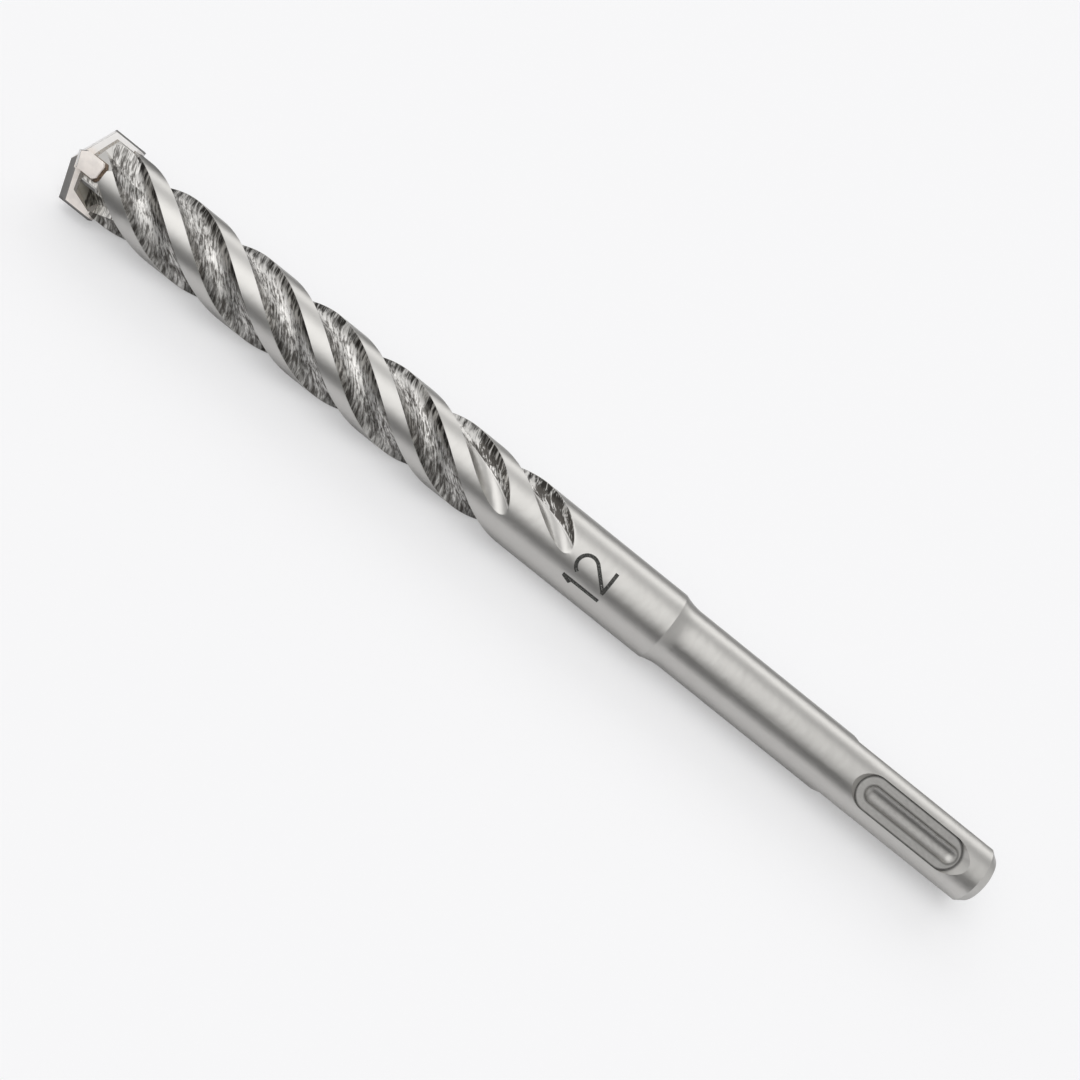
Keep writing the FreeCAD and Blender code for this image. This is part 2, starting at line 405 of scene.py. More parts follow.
def flute_tree():
    tree, given = new_tree(
        "GeometryNodeTree", "grind flutes",
        [("Geometry", "NodeSocketGeometry", None), ("Core Radius", "NodeSocketFloat", flute_core),
         ("Land Radius", "NodeSocketFloat", land_radius), ("Half Angle", "NodeSocketFloat", flute_half_angle),
         ("Floor Offset", "NodeSocketFloat", flute_offset), ("Wheel Radius", "NodeSocketFloat", wheel_radius),
         ("Short Length", "NodeSocketFloat", short_flute), ("Long Length", "NodeSocketFloat", long_flute),
         ("Relief", "NodeSocketFloat", relief_height), ("Material", "NodeSocketMaterial", None)],
        [("Geometry", "NodeSocketGeometry")])
    core, land, offset = given["Core Radius"], given["Land Radius"], given["Floor Offset"]
    wheel = given["Wheel Radius"]

    position = tree.nodes.new("GeometryNodeInputPosition")
    x, y, z = parts(Field(tree, position.outputs[0]))
    blank_radius = root(y * y + z * z)
    attribute = tree.nodes.new("GeometryNodeInputNamedAttribute")
    attribute.data_type = "FLOAT"
    attribute.inputs["Name"].default_value = "around"
    quarter = Field(tree, attribute.outputs["Attribute"]) * 4.0
    number = calc("FLOOR", quarter)
    share = quarter - number

    setback = tip - x
    twist = calc("MINIMUM", setback, plain_setback) * -turn_per_metre + (side_angle + flute_lag)
    centre_line = twist + number * (math.pi / 2)

    depth = land - core
    run_out = root(2.0 * wheel * depth - depth * depth)
    half_chord = land * sine(given["Half Angle"])
    rise = land * cosine(given["Half Angle"]) - core
    odd = calc("MODULO", number, 2.0)

    def wheel_lift(is_long):
        """How far the wheel has lifted out of the steel at this setback."""
        length = choose(is_long, given["Short Length"], given["Long Length"])
        past = calc("MAXIMUM", setback - (length - run_out), 0.0)
        past = calc("MINIMUM", past, run_out * lift_limit)
        return wheel - root(wheel * wheel - past * past)

    lift = wheel_lift(odd)
    gentle = arc_centre(core, lift, offset, half_chord, rise, -1.0)
    steep = arc_centre(core, lift, offset, half_chord, rise, 1.0)
    next_gentle = arc_centre(core, wheel_lift(1.0 - odd), offset, half_chord, rise, -1.0)
    low = edge_angle(gentle, land, -1.0)
    high = edge_angle(steep, land, 1.0)
    next_low = edge_angle(next_gentle, land, -1.0) + math.pi / 2

    on_land = calc("GREATER_THAN", share, flute_share - share_margin)
    in_flute = choose(share / flute_share, low, high)
    between = choose((share - flute_share) / (1 - flute_share), high, next_low)
    off_centre = choose(on_land, in_flute, between)
    angle = centre_line + off_centre

    floor_angle = calc("ARCTAN2", offset, core + lift)
    on_steep = calc("GREATER_THAN", off_centre, floor_angle)
    ground = choose(on_steep, arc_depth(gentle, off_centre), arc_depth(steep, off_centre))
    ground = choose(on_land, ground, 1.0)
    cut = calc("MINIMUM", ground, blank_radius)
    depth_here = ramp(land - cut, relief_from, relief_full)
    marks = (streaks(setback, number, off_centre) - 0.5) * given["Relief"] * depth_here * 2.0
    radius = calc("MAXIMUM", cut - depth_here * given["Relief"] * 0.5 + marks, 0.0)
    radius = choose(calc("LESS_THAN", blank_radius, axis_zone), radius, blank_radius)

    move = tree.nodes.new("GeometryNodeSetPosition")
    feed(tree, move.inputs["Geometry"], given["Geometry"])
    feed(tree, move.inputs["Position"], vector(tree, x, radius * cosine(angle), radius * sine(angle)))
    finish_tree(tree, Field(tree, move.outputs[0]), given["Material"])
    return tree


print(f"flutes take {flute_share * columns_per_quarter:.0f} of every {columns_per_quarter} columns")

# %% Running the tree on the blank
def run_tree(thing, tree, **settings):
    """Puts a tree on an object, sets its inputs, and turns the result into a plain mesh."""
    modifier = thing.modifiers.new(tree.name, "NODES")
    modifier.node_group = tree
    identifiers = {item.name: item.identifier for item in tree.interface.items_tree
                   if item.item_type == "SOCKET" and item.in_out == "INPUT"}
    for name, value in settings.items():
        modifier[identifiers[name.replace("_", " ")]] = value
    bake_modifiers(thing)


def bake_modifiers(thing):
    """Replaces an object's mesh by what its modifiers make of it."""
    evaluated = thing.evaluated_get(bpy.context.evaluated_depsgraph_get())
    mesh = bpy.data.meshes.new_from_object(evaluated)
    thing.modifiers.clear()
    thing.data = mesh


steel = bpy.data.materials.new("satin_steel")
run_tree(blank, flute_tree(), Material=steel)
radii = [math.hypot(vertex.co.y, vertex.co.z) for vertex in blank.data.vertices]
print(f"fluted bar: {len(blank.data.polygons)} faces, radius up to {max(radii) / mm:.3f} mm")

# %% [markdown]
# ## Milling the head, the slots and the grooves
#
# The rest of the steel is cut the way the workshop cuts it, with a tool for each form. Every one of these
# tools is convex, so each is the hull of a few corner points, and a Boolean modifier takes it out of the
# bar. The Manifold solver is quick and keeps the result closed.

# %% Convex tools and Boolean cuts
over = 1.5 * mm
far = 12.0 * mm
nose_corners = 96


def turned(points, angle):
    """Points turned about the bit's axis."""
    spin = Matrix.Rotation(angle, 3, "X")
    return [spin @ Vector(point) for point in points]


def hull(name, points):
    """A convex tool: the hull of its corner points."""
    shell = bmesh.new()
    for point in points:
        shell.verts.new(point)
    made = bmesh.ops.convex_hull(shell, input=shell.verts)
    inside = [item for item in made["geom_interior"] if isinstance(item, bmesh.types.BMVert)]
    bmesh.ops.delete(shell, geom=inside, context="VERTS")
    bmesh.ops.recalc_face_normals(shell, faces=shell.faces)
    mesh = bpy.data.meshes.new(name)
    shell.to_mesh(mesh)
    shell.free()
    return add_object(name, mesh)


def block(x_low, x_high, y_low, y_high, z_low, z_high):
    return [(x, y, z) for x in (x_low, x_high) for y in (y_low, y_high) for z in (z_low, z_high)]


def cut_all(thing, tools, operation="DIFFERENCE"):
    """Applies each tool to a piece with the Manifold solver, then deletes the tools."""
    for tool in tools:
        modifier = thing.modifiers.new(tool.name, "BOOLEAN")
        modifier.operation = operation
        modifier.solver = "MANIFOLD"
        modifier.object = tool
    bake_modifiers(thing)
    for tool in tools:
        bpy.data.objects.remove(tool)


print(f"tools reach {over / mm:.1f} mm past the steel")

# %% [markdown]
# Behind each plate the wheel leaves a rib of steel that backs it up. In front of each plate, a flat is ground
# on the steel so that chips can pass into the flute. Last, the slots for the plates are sawn across the nose.
# The flute tree could carry these forms too, but its points can't follow a flat cut's sharp edge across their
# columns, and a Boolean cut makes that edge wherever it falls.

# %% Ribs behind the plates
plate_thickness = 2.8 * mm
braze_gap = 0.15 * mm
slot_half = plate_thickness / 2 + braze_gap
rib_thickness = 1.0 * mm
rib_radius = 5.15 * mm
rib_length = 6.4 * mm
rib_run_out = 5.0 * mm


def rib(angle):
    """A convex rib whose top slopes down into the flute at its end."""
    slope_start = tip - rib_length
    slope_end = slope_start - rib_run_out
    side_view = [(tip, 0), (tip, rib_radius), (slope_start, rib_radius), (slope_end, flute_core),
                 (slope_end, 0)]
    points = [(x, y, z) for x, y in side_view for z in (-slot_half - rib_thickness, slot_half)]
    return hull("rib", turned(points, angle))


ribs = rib(side_angles[0])
cut_all(ribs, [rib(angle) for angle in [side_angles[1]] + main_angles], "UNION")
nose_points = [(tip - nose_setback, 0, 0)]
for step in range(nose_corners):
    turn = 2 * math.pi * step / nose_corners
    for x in (tip - 2 * far, tip - nose_setback - land_radius * math.tan(nose_angle)):
        nose_points.append((x, land_radius * math.cos(turn), land_radius * math.sin(turn)))
cut_all(ribs, [hull("nose", nose_points)], "INTERSECT")
cut_all(blank, [ribs], "UNION")
print("ribs added:", len(blank.data.polygons), "faces")

# %% Chip faces and plate slots
chip_angle = math.radians(31)
chip_distance = 3.3 * mm
chip_tilt = math.radians(16.3)
slot_foot_chamfer = 0.5 * mm
main_slot_depth = 7.6 * mm
side_slot_depth = 6.3 * mm
side_slot_inner = 2.25 * mm


def plate_slot(depth, inner):
    """Corner points of a slot: its foot is chamfered, its sides are flat."""
    foot = tip - depth
    low = -far if inner is None else inner
    points = []
    for y in (low, far):
        points += [(foot, y, z) for z in (slot_foot_chamfer - slot_half, slot_half - slot_foot_chamfer)]
        points += [(x, y, z) for x in (foot + slot_foot_chamfer, tip + over) for z in (-slot_half, slot_half)]
    return points


chip_pivot = Vector((tip, chip_distance, 0))
chip_block = [Matrix.Rotation(-chip_tilt, 3, "Z") @ (Vector(point) - chip_pivot) + chip_pivot
              for point in block(tip - 2 * far, tip + over, chip_distance, far, -far, far)]
chip_block = turned(chip_block, chip_angle)
head_tools = [hull("chip_face", turned(chip_block, angle)) for angle in side_angles + main_angles]
head_tools.append(hull("main_slot", turned(plate_slot(main_slot_depth, None), main_angles[0])))
head_tools += [hull("side_slot", turned(plate_slot(side_slot_depth, side_slot_inner), angle))
               for angle in side_angles]
cut_all(blank, head_tools)
print("head milled:", len(blank.data.polygons), "faces")

# %% [markdown]
# The shank has two closed slots, which the hammer's locking balls run in, and two open grooves for its
# driving keys. A closed slot is a round-ended pocket whose walls lean outwards, with a trough along its floor
# that a ball-ended cutter leaves. An outline could be drawn and extruded, but its walls would stand upright.
# The hull of two outlines, one at the floor and one above the mouth, leans from the start, and the hull of
# two balls is the path of the ball-ended cutter.

# %% Locking slots
slot_start = 4.0 * mm
slot_end = 25.0 * mm
slot_width = 6.0 * mm
slot_end_lean = 1.2 * mm
slot_wall_lean = 0.25 * mm
slot_floor = 3.75 * mm
trough_floor = 3.0 * mm
trough_half_width = 1.4 * mm
trough_start = 7.05 * mm
trough_end = 21.05 * mm
arc_steps = 32
ball_rows, ball_columns = 32, 48


def pocket(floor, mouth, top, start, end, width, end_lean, wall_lean):
    """Corner points of a round-ended pocket whose walls lean out from its floor to its mouth."""
    growth = (top - floor) / (mouth - floor)
    points = []
    for height, lean in ((floor, 1.0), (top, 1.0 - growth)):
        radius = width / 2 - wall_lean * lean
        for side, centre in ((-1, start + end_lean * lean + radius), (1, end - end_lean * lean - radius)):
            for step in range(arc_steps + 1):
                turn = math.pi * (step / arc_steps - 0.5)
                points.append((centre + side * radius * math.cos(turn), height, radius * math.sin(turn)))
    return points


locking_slot = pocket(slot_floor, shank_radius, shank_radius + over, slot_start, slot_end, slot_width,
                      slot_end_lean, slot_wall_lean)
trough_depth = slot_floor - trough_floor
ball_radius = (trough_half_width ** 2 + trough_depth ** 2) / (2 * trough_depth)
trough = []
for centre in (trough_start, trough_end):
    for row in range(1, ball_rows):
        for column in range(ball_columns):
            lean, turn = math.pi * row / ball_rows, 2 * math.pi * column / ball_columns
            trough.append((centre + ball_radius * math.cos(lean),
                           trough_floor + ball_radius * (1 + math.sin(lean) * math.cos(turn)),
                           ball_radius * math.sin(lean) * math.sin(turn)))
slot_tools = [hull("slot", turned(points, angle)) for points in (locking_slot, trough)
              for angle in side_angles]
print(f"trough cut by a ball of {ball_radius / mm:.2f} mm radius")

# %% Driving grooves
groove_length = 24.2 * mm
groove_ramp = 3.6 * mm
groove_floor = 3.4 * mm
groove_half_floor = 1.35 * mm
groove_half_mouth = 1.95 * mm
past_ramp = 0.3 * mm


def groove_section(x, floor):
    """The four corners of a groove's section: its sides flare out from its floor."""
    flare = (groove_half_mouth - groove_half_floor) / (shank_radius - groove_floor)
    heights = (floor, shank_radius + over)
    return [(x, height, side * (groove_half_floor + flare * (height - groove_floor)))
            for height in heights for side in (-1, 1)]


ramp_end = groove_length + groove_ramp + past_ramp
ramp_top = shank_radius + (shank_radius - groove_floor) * past_ramp / groove_ramp
groove = groove_section(-over, groove_floor) + groove_section(groove_length, groove_floor)
groove_end = groove_section(groove_length, groove_floor) + groove_section(ramp_end, ramp_top)
groove_tools = [hull("groove", turned(points, angle)) for points in (groove, groove_end)
                for angle in main_angles]
cut_all(blank, slot_tools + groove_tools)
blank.name = "drill_steel"
print("shank milled:", len(blank.data.polygons), "faces")

# %% [markdown]
# ## Camera
#
# The photograph looks down at the bit at 45 degrees, square to it, and the picture is turned so that the bit
# runs from the upper left to the lower right. Where the outline lies, and how much the near end grows, give
# the distance and the slight tilt. They are written as lengths and angles, and the lens follows from the
# photograph's frame.

# %% Camera
photo_width = 1080
focal_pixels = 1545
sensor_width = 36.0
camera_distance = 220.5 * mm
camera_tilt = math.radians(4.0)
camera_roll = math.radians(38.77)
aim_from_tip = 84.0 * mm
axis_above_centre = 1.48 * mm

to_shank = Vector((-1, 0, 0))
up_slope = Vector((0, -math.sqrt(0.5), math.sqrt(0.5)))
to_camera = Vector((0, math.sqrt(0.5), math.sqrt(0.5)))
along_frame = math.cos(camera_tilt) * to_shank + math.sin(camera_tilt) * to_camera
backwards = -math.sin(camera_tilt) * to_shank + math.cos(camera_tilt) * to_camera
right = math.cos(camera_roll) * along_frame + math.sin(camera_roll) * up_slope
upward = -math.sin(camera_roll) * along_frame + math.cos(camera_roll) * up_slope
aim = Vector((tip - aim_from_tip, 0, 0)) - axis_above_centre * up_slope
place = aim + camera_distance * backwards

camera_data = bpy.data.cameras.new("camera")
camera_data.sensor_width = sensor_width
camera_data.lens = focal_pixels / photo_width * sensor_width
camera_data.clip_start = 0.01
camera = bpy.data.objects.new("camera", camera_data)
bpy.context.scene.collection.objects.link(camera)
turn = Matrix((right, upward, backwards)).transposed()
camera.matrix_world = Matrix.Translation(place) @ turn.to_4x4()
bpy.context.scene.camera = camera
print(f"lens {camera_data.lens:.1f} mm, {camera_distance / mm:.0f} mm away")

# %% [markdown]
# ## Grain and waves of the ground steel
#
# Ground steel is never quite even. The wheel leaves fine scratches round the bar, slow waves along it and a
# cloudy tone. A shader group makes them from noise that is drawn out one way, as two heights for the bump
# and one tone for the colour and roughness. It reads Object coordinates, so the pattern stays on the piece
# from every side.

# %% Shader helpers
def object_place(tree):
    """The point on the piece, in metres, as X, Y and Z fields."""
    coordinates = tree.nodes.new("ShaderNodeTexCoord")
    return parts(Field(tree, coordinates.outputs["Object"]))


def grain_place(tree, along=1.0, around=1.0):
    """The point on the piece in millimetres, drawn out along the bit or round it, as a place for noise."""
    x, y, z = object_place(tree)
    return vector(tree, x / mm * along, y / mm * around, z / mm * around)


def blend_colour(mask, first, second, mode="MIX"):
    """first where the mask is 0 and second where it is 1. Either may be a field or a plain colour."""
    tree = mask.tree
    node = tree.nodes.new("ShaderNodeMix")
    node.data_type = "RGBA"
    node.blend_type = mode
    feed(tree, node.inputs["Factor"], mask)
    for socket, value in ((node.inputs["A"], first), (node.inputs["B"], second)):
        feed(tree, socket, value if isinstance(value, Field) else (*value, 1.0))
    return Field(tree, node.outputs["Result"])


def group_outputs(tree, **fields):
    """Links fields to a group's outputs by name."""
    group_out = tree.nodes.new("NodeGroupOutput")
    for socket in group_out.inputs:
        if socket.name in fields:
            feed(tree, socket, fields[socket.name])


def use_group(tree, group, **settings):
    """Places a shader group in a material. Returns its outputs as fields."""
    node = tree.nodes.new("ShaderNodeGroup")
    node.node_tree = group
    for name, value in settings.items():
        feed(tree, node.inputs[name], value)
    return {socket.name: Field(tree, socket) for socket in node.outputs}


def bump(height, distance, strength=1.0):
    node = height.tree.nodes.new("ShaderNodeBump")
    feed(height.tree, node.inputs["Height"], height)
    node.inputs["Distance"].default_value = distance
    node.inputs["Strength"].default_value = strength
    return Field(height.tree, node.outputs[0])


def shader_of(material):
    """A material's tree and its Principled BSDF."""
    material.use_nodes = True
    tree = material.node_tree
    return tree, tree.nodes["Principled BSDF"]


print("shader helpers ready")

# %% The ground finish, as a shader group
def ground_finish_group():
    tree, given = new_tree("ShaderNodeTree", "ground finish",
                           [("Scale", "NodeSocketFloat", 1.0)],
                           [("Height", "NodeSocketFloat"), ("Wave", "NodeSocketFloat"),
                            ("Tone", "NodeSocketFloat")])
    wave = noise(grain_place(tree, 0.5, 0.3), 1.0, 2.0, 0.5)
    fine = noise(grain_place(tree, 9.0, 0.7), 1.0, 3.0, 0.6)
    cloud = noise(grain_place(tree, 0.09, 0.35), 1.0, 3.0, 0.55)
    speck = noise(grain_place(tree, 2.2, 2.2), 1.0, 2.0, 0.6)
    group_outputs(tree, Height=(fine * 0.7 + speck * 0.3) * given["Scale"], Wave=wave,
                  Tone=cloud * 0.6 + speck * 0.25 + fine * 0.15)
    return tree


ground_finish = ground_finish_group()
print("group:", ground_finish.name)

# %% [markdown]
# ## The wheel's marks in the flutes
#
# The flutes are left as the wheel cut them: a coarse pattern of short ridges that lean across the flute, much
# rougher than the ground lands. It is the most striking finish on the bit. Real ridges all over would take
# millions of faces, so beyond the low relief of the mesh they are a shader group. It finds where a point is
# in its flute and lays two crossing sets of streaks there. In front of each plate the steel is smooth, up to
# a slanting line. Towards its end a flute is shallow, and its gentle side is worn into a smooth spoon.

# %% Smooth steel in front of the plates
face_line_start = 9.23
face_line_slope = 1.32
face_edge = 0.18


def chip_face_masks(setback, radius, angle):
    """Masks of the smooth steel in front of each plate, and of the dark edge that borders it."""
    off_face = angle - (side_angle + chip_angle)
    off_face = off_face - calc("ROUND", off_face / (math.pi / 2)) * (math.pi / 2)
    above_face = radius * cosine(off_face) - chip_distance
    above_face = (above_face * math.cos(chip_tilt) - setback * math.sin(chip_tilt)) / mm
    past_plate = (angle - side_angle) / (math.pi / 2)
    past_plate = (past_plate - calc("FLOOR", past_plate)) * (math.pi / 2)
    above_line = radius * sine(past_plate) / mm - (face_line_start - setback / mm * face_line_slope)
    smooth = calc("MAXIMUM", ramp(above_face, -0.05, -0.02), ramp(above_line, 0.06, -0.06))
    edge = ramp(calc("ABSOLUTE", above_line - face_edge), 0.24, 0.08) * ramp(setback / mm, 8.5, 7.0)
    return smooth, edge


print(f"the smooth steel ends within {face_line_start / face_line_slope:.1f} mm of the tip")

# %% The flute marks, as a shader group
spoon_edge = 0.22
run_out_fade = (11.0, 8.0)
depth_fade = (0.015, 0.09)


def flute_marks_group():
    """Masks for the wheel's marks, with painted highlights on their ridges and along the spoon's edge, and a
    painted shade under the steep edge. share is 0 on a flute's centre line and 1 at its steep edge.
    """
    tree, given = new_tree("ShaderNodeTree", "flute marks",
                           [("Land Radius", "NodeSocketFloat", land_radius)],
                           [("Mask", "NodeSocketFloat"), ("Height", "NodeSocketFloat"),
                            ("Dark", "NodeSocketFloat"), ("Bright", "NodeSocketFloat"),
                            ("Shaded", "NodeSocketFloat")])
    x, y, z = object_place(tree)
    radius = root(y * y + z * z)
    angle = calc("ARCTAN2", z, y)
    depth = (given["Land Radius"] - radius) / mm
    setback, number, off_centre = flute_coordinates(x, angle)
    in_flutes = ramp(setback / mm, long_flute / mm + 0.5, long_flute / mm - 0.5)
    chip_face, chip_edge = chip_face_masks(setback, radius, angle)
    mask = ramp(depth, *depth_fade) * in_flutes * (1.0 - chip_face)

    share = off_centre / flute_half_angle
    steep_wall = ramp(share, 0.25, 0.9)
    # Painted shade: a nearly black line under the steep edge, where the wall turns away from the light.
    shaded_edge = ramp(share, 0.87, 0.98)
    gentle_edge = ramp(share, -0.2, -0.8)
    is_long = calc("MODULO", calc("ABSOLUTE", number), 2.0)
    to_end = (choose(is_long, short_flute, long_flute) - setback) / mm
    run_out = ramp(to_end, *run_out_fade)
    spoon = run_out * ramp(share, spoon_edge + 0.02, spoon_edge - 0.10)
    # Painted highlight: a bright line along the ridge at the spoon's edge, where it catches the light.
    spoon_ridge_highlight = run_out * ramp(calc("ABSOLUTE", share - spoon_edge), 0.10, 0.02)
    mask = mask * (1.0 - spoon)

    along = setback / mm
    across = off_centre * (land_radius / mm)
    ridges = noise(streak_place(setback, number, off_centre, 0.30, 0.30), 2.1, 3.0, 0.62, 0.5)
    crossing = noise(vector(tree, along * 0.9 + across * 0.9, across * 0.35 - along * 0.35, number * 3.1),
                     2.0, 3.0, 0.6, 0.5)
    patches = noise(vector(tree, along * 0.35, across * 0.5, number * 5.7), 1.0, 3.0, 0.6)
    mixed = ridges * 0.7 + crossing * 0.3
    dark = ramp(mixed + patches * 0.35 + steep_wall * 0.04 - gentle_edge * 0.02 - run_out * 0.16, 0.71, 0.53)
    dark = calc("MAXIMUM", dark, chip_edge * 0.9)
    # Painted highlights: the ridges of the marks are painted bright where they would catch the light.
    bright = ramp(mixed + patches * 0.3 + steep_wall * 0.03 - gentle_edge * 0.04 - run_out * 0.06, 0.60, 0.74)
    group_outputs(tree, Mask=mask, Height=mixed, Dark=dark * mask * (1.0 - spoon_ridge_highlight),
                  Bright=calc("MAXIMUM", bright, spoon_ridge_highlight) * mask,
                  Shaded=shaded_edge * ramp(mixed + patches * 0.3, 0.80, 0.55) * mask)
    return tree


flute_marks = flute_marks_group()
print("group:", flute_marks.name)

# %% [markdown]
# ## Shade in the locking slots
#
# A locking slot is milled, so its ledges are duller than the ground shank, and as a recess they are also
# darkened with painted shade. Painted shade also runs as dark lines along the foot of its walls and along the
# edge of its trough. Both lines follow a round-ended slot, so a shader group can measure the distance from
# the middle line of that slot and darken the steel at the right distance. Lines made of geometry would show
# as strips from close by.

# %% The slot shade, as a shader group
def slot_shade_group():
    """How bright the steel is in a locking slot: duller on the ledges, partly as milled steel and partly as
    painted shade, and dark with painted shade along the foot of the walls.
    """
    tree, given = new_tree("ShaderNodeTree", "slot shade", [("Ledge", "NodeSocketFloat", 0.78)],
                           [("Shade", "NodeSocketFloat")])
    x, y, z = object_place(tree)
    beside = (z * math.cos(side_angle) - y * math.sin(side_angle)) / mm
    depth = (shank_radius - root(y * y + z * z)) / mm
    half_mouth = slot_width / 2
    half_floor = half_mouth - slot_wall_lean

    def ring_distance(start, end, half_width):
        """Distance from the middle line of a round-ended slot, in millimetres."""
        middle, half_line = (start + end) / 2, (end - start) / 2 - half_width
        beyond = calc("MAXIMUM", calc("ABSOLUTE", x - middle) - half_line, 0.0) / mm
        return root(beyond * beyond + beside * beside)

    floor_ring = ring_distance(slot_start + slot_end_lean, slot_end - slot_end_lean, half_floor)
    trough_ring = ring_distance(trough_start - trough_half_width, trough_end + trough_half_width,
                                trough_half_width)
    grain = noise(grain_place(tree, 0.5), 3.0, 3.0, 0.6)
    wall_foot = ramp(calc("ABSOLUTE", floor_ring - (half_floor / mm - 0.03)), 0.26, 0.06)
    trough_edge = ramp(calc("ABSOLUTE", trough_ring - (trough_half_width / mm + 0.04)), 0.20, 0.04) * 0.6
    inside = ramp(floor_ring, half_mouth / mm + 0.1, half_mouth / mm - 0.1) * ramp(depth, 0.03, 0.1)
    ledge = given["Ledge"] + (grain - 0.5) * 0.3
    shade = choose(calc("MAXIMUM", wall_foot, trough_edge) * (grain * 0.6 + 0.6), ledge, 0.22)
    group_outputs(tree, Shade=choose(inside, 1.0, shade))
    return tree


slot_shade = slot_shade_group()
print("group:", slot_shade.name)

# %% [markdown]
# ## Steel
#
# The bar is hardened steel, ground on the lands, neck and shank to an even satin. In the flutes it is darker
# and slightly brown where the wheel has burnt it, with painted highlights on the ridges of the marks and a
# nearly black painted shade under the steep edge. One material with masks serves the whole bar, because these
# finishes and painted marks run into each other on one piece of steel. Near the head, the steel below the
# side plates is darker and browner.

# %% Steel material
satin = (0.60, 0.588, 0.565)
lower_head_brown = (0.36, 0.34, 0.28)
burnt = (0.105, 0.098, 0.09)
painted_shade_dark = (0.042, 0.039, 0.036)
flute_grey = (0.36, 0.35, 0.335)
ridge_highlight_colour = (0.74, 0.725, 0.70)
lower_head_fade_back, lower_head_fade_down, lower_head_fade_in = (9.5, 6.0), (1.2, 1.9), (0.05, 0.3)
mark_bump = 0.10 * mm


def lower_head_darkening(tree, tone):
    """1 on the steel below the side plates near the head, which is made darker and browner there."""
    x, y, z = object_place(tree)
    below_side_plate = (y - z) * math.sqrt(0.5) / mm
    setback = (tip - x) / mm
    depth = (land_radius - root(y * y + z * z)) / mm
    below = ramp(below_side_plate, *lower_head_fade_down) * ramp(depth, *lower_head_fade_in)
    return ramp(setback, *lower_head_fade_back) * below * (tone * 0.6 + 0.5)


def make_steel(material):
    tree, surface = shader_of(material)
    finish = use_group(tree, ground_finish)
    marks = use_group(tree, flute_marks)
    ground = blend_colour(finish["Tone"], tuple(0.9 * c for c in satin), tuple(1.08 * c for c in satin))
    rough = blend_colour(marks["Dark"], flute_grey, burnt)
    # Painted highlights on the ridges of the marks and along the spoon's edge.
    rough = blend_colour(marks["Bright"], rough, ridge_highlight_colour)
    # Painted shade: a nearly black line under the steep edge of each flute.
    rough = blend_colour(marks["Shaded"], rough, painted_shade_dark)
    colour = blend_colour(marks["Mask"], ground, rough)
    colour = blend_colour(lower_head_darkening(tree, finish["Tone"]), colour, lower_head_brown, "MULTIPLY")
    # Painted shade in the locking slots: the colour is darkened towards black there.
    shade = use_group(tree, slot_shade)["Shade"]
    feed(tree, surface.inputs["Base Color"], blend_colour(1.0 - shade, colour, (0.0, 0.0, 0.0)))
    surface.inputs["Metallic"].default_value = 1.0
    feed(tree, surface.inputs["Roughness"], choose(marks["Mask"], finish["Tone"] * 0.1 + 0.30,
                                                   marks["Height"] * -0.15 + 0.42))
    height = choose(marks["Mask"], finish["Height"] * 0.02 + finish["Wave"] * 0.6, marks["Height"])
    feed(tree, surface.inputs["Normal"], bump(height, mark_bump))


make_steel(steel)
print("material:", steel.name, len(steel.node_tree.nodes), "nodes")

# %% [markdown]
# ## Cutter plates
#
# The plates are cemented carbide, pressed and sintered to shape and brazed in as they are, so they are matt
# and faintly pink beside the steel. Their roofs, and the upper half of the main plate, are painted whiter as
# painted light. The narrow bevel in front of each cutting edge is ground afterwards and is also painted
# darker as shade, as it faces down away from the light. A strip of the face below it and the outer ends are
# ground afterwards and are darker. Each of these places follows from the plate's own angles, so the material
# finds them from the point and the normal, and one material serves all three plates.

# %% Carbide material
edge_offset = 0.75 * mm
corner_setback = 2.0 * mm
cutting_radius = 6.2 * mm
end_relief = 0.3 * mm
flank_slope = math.tan(math.radians(24))
bevel_slope = math.tan(math.radians(57))
ground_strip = 0.25
plate_half = plate_thickness / 2
centre_rise = edge_offset * flank_slope
roof_slope = (corner_setback + centre_rise) / cutting_radius
bevel_foot = (plate_half - edge_offset) * bevel_slope - centre_rise

carbide_pale = (0.98, 0.91, 0.85)
carbide_grey = (0.88, 0.82, 0.77)
carbide_painted_light = (0.95, 0.94, 0.93)
carbide_ground_and_shade = (0.20, 0.195, 0.19)
carbide_end = (0.16, 0.155, 0.15)


